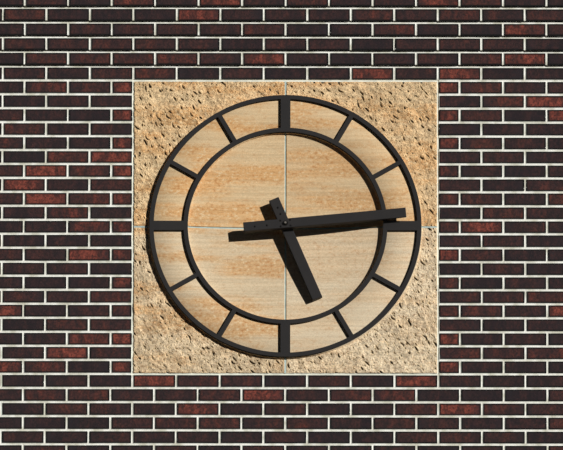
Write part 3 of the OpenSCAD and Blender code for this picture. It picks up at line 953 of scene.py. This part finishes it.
# Light. The key throws a shadow left and down by these shares of the depth that it falls through.
fill_light = 0.024
fill_tint = paint(64, 172, 255)
background_light = 0.8
shadow_left = 0.87
shadow_down = 0.34
key_strength = 4.3
key_spread = 0.6
rear_travel = (0.75, -1, -0.65)
rear_strength = 3.4
rear_spread = 3


def pale_world():
    """Even bluish fill, with a pale background for the camera and for reflections."""
    f = Finish("studio", "worlds")
    bpy.context.scene.world = f.owner
    shown = f.shown()
    f.fill(f.shader.inputs["Strength"], f.spread(shown, 0, 1, fill_light, background_light))
    f.fill(f.shader.inputs["Color"], f.mix(shown, fill_tint, paint(255, 255, 255)))


def sun(name, travel, strength, spread):
    """A lamp whose light travels along one direction, blurred by a spread in degrees."""
    lamp = bpy.data.lights.new(name, "SUN")
    lamp.energy = strength
    lamp.angle = math.radians(spread)
    holder = bpy.data.objects.new(name, lamp)
    holder.rotation_euler = Vector(travel).to_track_quat("-Z", "Y").to_euler()
    bpy.context.scene.collection.objects.link(holder)


def light_the_wall():
    """Low fill, a hard key from the front right and above, and a second lamp from behind on the left for
    the end, the top and the back."""
    pale_world()
    sun("key", (-shadow_left, 1, -shadow_down), key_strength, key_spread)
    sun("rear", rear_travel, rear_strength, rear_spread)


# Viewpoint of the photograph, with its lens in pixels and its scale in metres to a pixel. It is aimed to
# the left of the dial's axis and above it.
picture_w = 563
focal_px = 18000
scale_at_wall = 4.661 * mm
aim_left = 18.5 * mm
aim_up = 9.1 * mm
view_up = math.radians(15.9)
view_roll = math.radians(0.06)


def stand_camera():
    """Long lens, square to the wall's length and looking up at it from far below."""
    lens = bpy.data.cameras.new("viewpoint")
    lens.sensor_width = 36
    lens.lens = focal_px * lens.sensor_width / picture_w
    lens.clip_start, lens.clip_end = 1, 400
    aim = Vector((-aim_left, face_y, dial_z + aim_up))
    back = Vector((0, -math.cos(view_up), -math.sin(view_up)))
    camera = bpy.data.objects.new("viewpoint", lens)
    camera.location = aim + back * focal_px * scale_at_wall
    turn = (-back).to_track_quat("-Z", "Y") @ Quaternion((0, 0, 1), view_roll)
    camera.rotation_euler = turn.to_euler()
    bpy.context.scene.collection.objects.link(camera)
    bpy.context.scene.camera = camera


bpy.context.scene.view_settings.view_transform = "Standard"
stand_camera()
light_the_wall()
pale_floor()

brick, mortar = brick_finish(), mortar_finish()
honed, rough = honed_finish(), rough_finish()
coat = coat_finish()
bright_steel = steel_finish("turned_steel", paint(176, 173, 168), 0.34)
weight_steel = steel_finish("weight_steel", paint(128, 126, 124), 0.5)
black_steel = steel_finish("blackened_steel", paint(30, 29, 28), 0.5)
dull_steel = steel_finish("dulled_steel", paint(98, 93, 86), 0.6)

build_wall(brick, mortar)
build_backing(brick, mortar)
for rise, rise_name in ((-1, "lower"), (1, "upper")):
    for side, side_name in ((-1, "left"), (1, "right")):
        stone_slab(side, rise, honed, rough, f"stone_slab_{rise_name}_{side_name}")
cross_joint(sealant_finish("cross_sealant", paint(174, 189, 181)))
perimeter_joint(sealant_finish("perimeter_sealant", paint(220, 219, 202)))
dial_ring("dial_outer_ring", ring_inside_r, dial_r, coat)
dial_ring("dial_inner_ring", inner_ring_r, chapter_r, coat)
for n in range(1, 13):
    dial_marker(n, coat)
hand_channel("minute_hand", "minute_assembly", minute_angle, coat, reach=564 * mm, tail=196 * mm,
             tip_w=47 * mm, tail_w=44.5 * mm, tip_depth=5 * mm, taper_from=340 * mm, bore=5 * mm)
hand_channel("hour_hand", "hour_assembly", hour_angle, coat, reach=383 * mm, tail=139.5 * mm,
             tip_w=48 * mm, tail_w=48 * mm, tip_depth=hour_depth, taper_from=240 * mm, bore=12 * mm)
hub_screws = [(x * mm, z * mm) for x in (-14, 14) for z in (-23, 23)]
minute_weight_screws = [(3 * mm, -143 * mm), (3 * mm, -87 * mm)]
hour_weight_screws = [(0, -92.5 * mm), (0, -59 * mm)]
hand_screws("minute_hand", "minute_assembly", minute_angle, hub_screws + minute_weight_screws, black_steel)
hand_screws("hour_hand", "hour_assembly", hour_angle, hub_screws + hour_weight_screws, black_steel)
hub_nut(black_steel)
dress(dull_steel, ["minute_arbor"])
dress(bright_steel, ["hour_pipe", "arbor_sleeve", "minute_hub", "hour_hub"])
dress(weight_steel, ["minute_balance_weight", "hour_balance_weight"])
